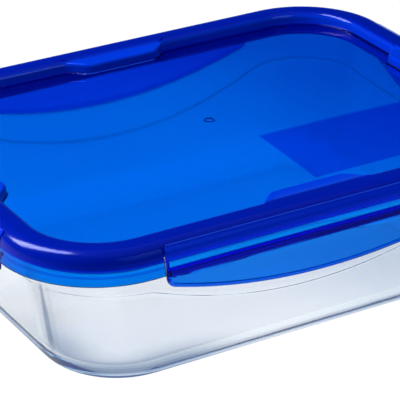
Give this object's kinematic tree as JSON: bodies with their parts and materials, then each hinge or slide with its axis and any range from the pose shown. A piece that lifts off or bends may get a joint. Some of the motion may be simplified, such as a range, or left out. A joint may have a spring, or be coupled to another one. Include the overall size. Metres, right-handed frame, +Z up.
{
  "type": "glass storage container",
  "caption": "Rectangular glass storage dish with a translucent blue press-on lid, a silicone seal and latch tabs that swing on living hinges.",
  "frame": {"origin": "centre of the dish's base, on the surface that it stands on", "axes": "+X along the long side, +Y from the front long side to the back one, +Z up through the lid"},
  "size_m": [0.252, 0.197, 0.0715],
  "materials": {
    "clear_glass": "clear pressed glass, polished",
    "lid_plastic": "glossy, transparent blue",
    "tab_plastic": "glossy, transparent blue",
    "silicone": "satin, translucent white"
  },
  "bodies": {
    "dish": {"glass_dish": "clear_glass"},
    "lid": {"lid_rim": "lid_plastic", "lid_panel": "lid_plastic", "silicone_seal": "silicone", "living_hinge_front": "tab_plastic", "living_hinge_back": "tab_plastic", "living_hinge_left": "tab_plastic", "living_hinge_right": "tab_plastic"},
    "front_tab": {"latch_tab_front": "tab_plastic"},
    "back_tab": {"latch_tab_back": "tab_plastic"},
    "left_tab": {"latch_tab_left": "tab_plastic"},
    "right_tab": {"latch_tab_right": "tab_plastic"}
  },
  "joints": [
    {"name": "lid_lift", "type": "slide", "parent": "dish", "child": "lid", "axis": [0, 0, 1], "range_m": [0, 0.12]},
    {"name": "front_latch", "type": "hinge", "parent": "lid", "child": "front_tab", "pos_m": [0, -0.095, 0.07], "axis": [-1, 0, 0], "range_deg": [0, 150]},
    {"name": "back_latch", "type": "hinge", "parent": "lid", "child": "back_tab", "pos_m": [0, 0.095, 0.07], "axis": [1, 0, 0], "range_deg": [0, 150]},
    {"name": "left_latch", "type": "hinge", "parent": "lid", "child": "left_tab", "pos_m": [-0.1225, 0, 0.07], "axis": [0, 1, 0], "range_deg": [0, 150]},
    {"name": "right_latch", "type": "hinge", "parent": "lid", "child": "right_tab", "pos_m": [0.1225, 0, 0.07], "axis": [0, -1, 0], "range_deg": [0, 150]}
  ]
}
